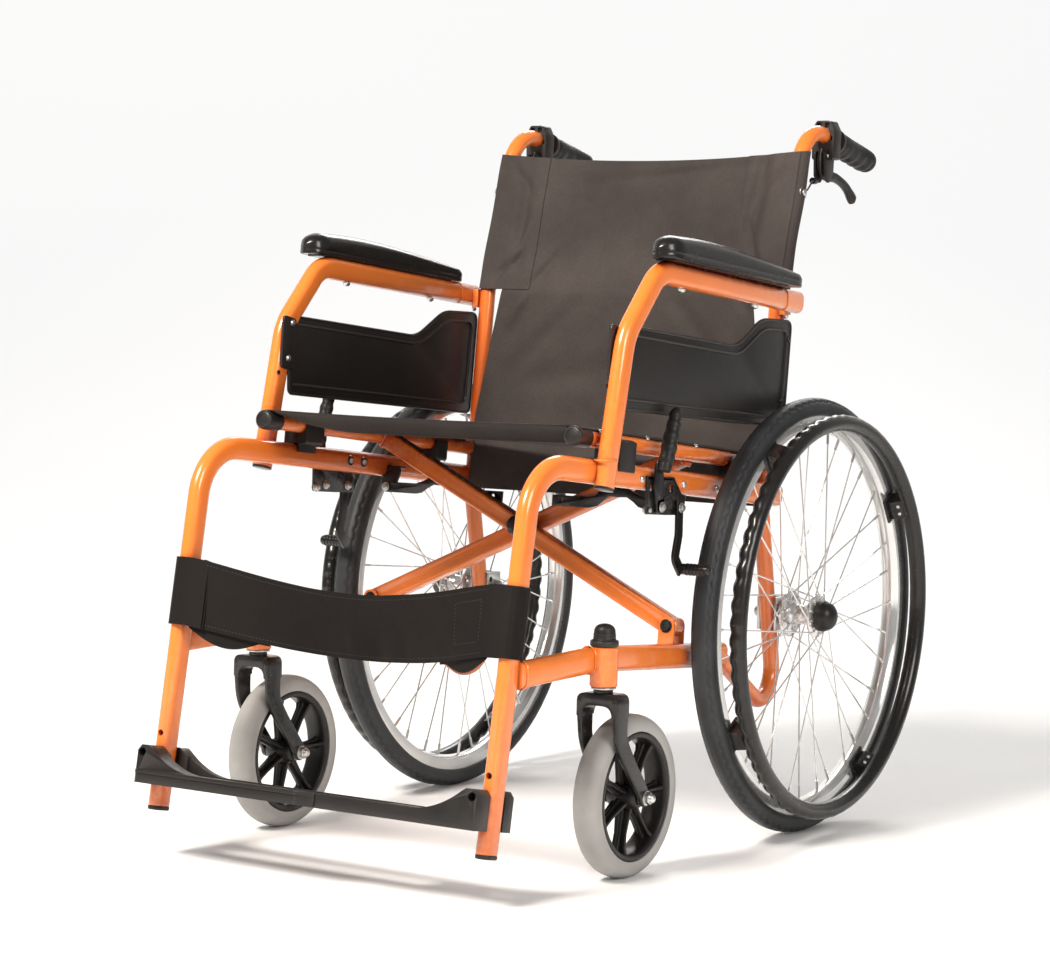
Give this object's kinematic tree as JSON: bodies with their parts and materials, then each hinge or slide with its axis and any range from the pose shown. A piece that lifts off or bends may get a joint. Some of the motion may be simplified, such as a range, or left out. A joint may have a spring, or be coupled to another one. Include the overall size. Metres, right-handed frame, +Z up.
{
  "type": "manual wheelchair",
  "caption": "Folding self-propelled wheelchair with cross brace, sling seat and back, hand rims, swivel casters, wheel locks, armrests and a flip-up footplate.",
  "frame": {"origin": "on the floor, below the middle of the chair's length and width", "axes": "+X to the user's left, +Y to the rear, +Z up"},
  "size_m": [0.661, 1.039, 0.948],
  "materials": {
    "orange_paint": "gloss powder coat",
    "black_plastic": "fine-grained moulded",
    "black_steel": "satin black",
    "chrome": "bright plated",
    "silver_steel": "satin zinc",
    "grey_tyre": "matte solid rubber",
    "black_tyre": "matte",
    "grip_rubber": "satin moulded",
    "armrest_skin": "semi-gloss integral skin",
    "upholstery": "woven nylon"
  },
  "bodies": {
    "left_side": {"left_side_frame": "orange_paint", "left_leg_plug": "black_plastic", "left_caster_cap": "grip_rubber", "left_armrest_pad": "armrest_skin", "left_skirt_guard": "black_plastic", "left_axle_bracket": "silver_steel", "left_axle": "silver_steel", "left_push_grip": "grip_rubber", "left_lever_bracket": "black_plastic", "left_lock_plate": "black_steel", "left_seat_guide_front": "black_plastic", "left_seat_guide_rear": "black_plastic", "footplate_bolt": "silver_steel", "back_upholstery": "upholstery", "calf_strap": "upholstery"},
    "right_side": {"right_side_frame": "orange_paint", "right_leg_plug": "black_plastic", "right_caster_cap": "grip_rubber", "right_armrest_pad": "armrest_skin", "right_skirt_guard": "black_plastic", "right_axle_bracket": "silver_steel", "right_axle": "silver_steel", "right_push_grip": "grip_rubber", "right_lever_bracket": "black_plastic", "right_lock_plate": "black_steel", "right_seat_guide_front": "black_plastic", "right_seat_guide_rear": "black_plastic"},
    "brace_front": {"brace_front": "orange_paint", "cross_bolt": "black_steel"},
    "brace_rear": {"brace_rear": "orange_paint", "seat_sling": "upholstery"},
    "footplate": {"footplate": "black_plastic"},
    "left_wheel": {"left_tyre": "black_tyre", "left_rim": "silver_steel", "left_hub_and_spokes": "chrome", "left_hub_cap": "black_plastic", "left_hand_rim": "black_steel"},
    "left_fork": {"left_caster_fork": "black_steel", "left_caster_axle": "silver_steel"},
    "left_caster": {"left_caster_wheel": "black_plastic", "left_caster_tyre": "grey_tyre"},
    "left_stay": {"left_stay_link": "black_steel"},
    "left_handle": {"left_lock_handle": "grip_rubber"},
    "left_lock": {"left_lock_arm": "black_steel"},
    "left_lever": {"left_attendant_lever": "black_plastic"},
    "right_wheel": {"right_tyre": "black_tyre", "right_rim": "silver_steel", "right_hub_and_spokes": "chrome", "right_hub_cap": "black_plastic", "right_hand_rim": "black_steel"},
    "right_fork": {"right_caster_fork": "black_steel", "right_caster_axle": "silver_steel"},
    "right_caster": {"right_caster_wheel": "black_plastic", "right_caster_tyre": "grey_tyre"},
    "right_stay": {"right_stay_link": "black_steel"},
    "right_handle": {"right_lock_handle": "grip_rubber"},
    "right_lock": {"right_lock_arm": "black_steel"},
    "right_lever": {"right_attendant_lever": "black_plastic"}
  },
  "joints": [
    {"name": "fold", "type": "hinge", "parent": "left_side", "child": "brace_front", "pos_m": [0.239, -0.05121, 0.2937], "axis": [0, 0.9948, -0.1017], "range_deg": [0, 45], "deforming": ["seat_sling", "back_upholstery", "calf_strap"]},
    {"name": "cross_pivot", "type": "hinge", "parent": "brace_front", "child": "brace_rear", "pos_m": [0, -0.0289, 0.4038], "axis": [0, 0.9948, -0.1017], "range_deg": [-90, 0]},
    {"name": "right_fold", "type": "hinge", "parent": "brace_rear", "child": "right_side", "pos_m": [-0.239, -0.02932, 0.29146], "axis": [0, 0.9948, -0.1017], "range_deg": [0, 45]},
    {"name": "left_stay_pivot", "type": "hinge", "parent": "left_side", "child": "left_stay", "pos_m": [0.231, -0.02839, 0.44416], "axis": [0, 0.9948, -0.1017], "range_deg": [0, 70.2]},
    {"name": "right_stay_pivot", "type": "hinge", "parent": "right_side", "child": "right_stay", "pos_m": [-0.231, -0.02143, 0.44345], "axis": [0, 0.9948, -0.1017], "range_deg": [-70.2, 0]},
    {"name": "footplate_flip", "type": "hinge", "parent": "left_side", "child": "footplate", "pos_m": [0.245, -0.45538, 0.128], "axis": [0, 0.9854, -0.1703], "range_deg": [0, 90]},
    {"name": "left_wheel_spin", "type": "hinge", "parent": "left_side", "child": "left_wheel", "pos_m": [0.281, 0.2321, 0.29], "axis": [1, 0, 0], "continuous": true},
    {"name": "left_caster_swivel", "type": "hinge", "parent": "left_side", "child": "left_fork", "pos_m": [0.264, -0.2519, 0.2], "axis": [0, 0, 1], "continuous": true},
    {"name": "left_caster_spin", "type": "hinge", "parent": "left_fork", "child": "left_caster", "pos_m": [0.264, -0.1949, 0.1], "axis": [1, 0, 0], "continuous": true},
    {"name": "left_lock_lever", "type": "hinge", "parent": "left_side", "child": "left_handle", "pos_m": [0.261, -0.1259, 0.449], "axis": [1, 0, 0], "range_deg": [0, 40]},
    {"name": "left_lock_swing", "type": "hinge", "parent": "left_side", "child": "left_lock", "pos_m": [0.261, -0.0779, 0.446], "axis": [1, 0, 0], "range_deg": [0, 12]},
    {"name": "left_brake_squeeze", "type": "hinge", "parent": "left_side", "child": "left_lever", "pos_m": [0.233, 0.3311, 0.906], "axis": [1, 0, 0], "range_deg": [0, 14], "stiffness_Nm_per_rad": 0.3},
    {"name": "right_wheel_spin", "type": "hinge", "parent": "right_side", "child": "right_wheel", "pos_m": [-0.281, 0.2321, 0.29], "axis": [1, 0, 0], "continuous": true},
    {"name": "right_caster_swivel", "type": "hinge", "parent": "right_side", "child": "right_fork", "pos_m": [-0.264, -0.2519, 0.2], "axis": [0, 0, 1], "continuous": true},
    {"name": "right_caster_spin", "type": "hinge", "parent": "right_fork", "child": "right_caster", "pos_m": [-0.264, -0.1949, 0.1], "axis": [1, 0, 0], "continuous": true},
    {"name": "right_lock_lever", "type": "hinge", "parent": "right_side", "child": "right_handle", "pos_m": [-0.261, -0.1259, 0.449], "axis": [1, 0, 0], "range_deg": [0, 40]},
    {"name": "right_lock_swing", "type": "hinge", "parent": "right_side", "child": "right_lock", "pos_m": [-0.261, -0.0779, 0.446], "axis": [1, 0, 0], "range_deg": [0, 12]},
    {"name": "right_brake_squeeze", "type": "hinge", "parent": "right_side", "child": "right_lever", "pos_m": [-0.233, 0.3311, 0.906], "axis": [1, 0, 0], "range_deg": [0, 14], "stiffness_Nm_per_rad": 0.3}
  ],
  "couplings": [
    {"joint": "cross_pivot", "follows": "fold", "ratio": -2},
    {"joint": "right_fold", "follows": "fold", "ratio": 1},
    {"joint": "left_stay_pivot", "follows": "fold", "ratio": 1.56},
    {"joint": "right_stay_pivot", "follows": "fold", "ratio": -1.56},
    {"joint": "left_lock_swing", "follows": "left_lock_lever", "ratio": 0.3},
    {"joint": "right_lock_swing", "follows": "right_lock_lever", "ratio": 0.3}
  ]
}
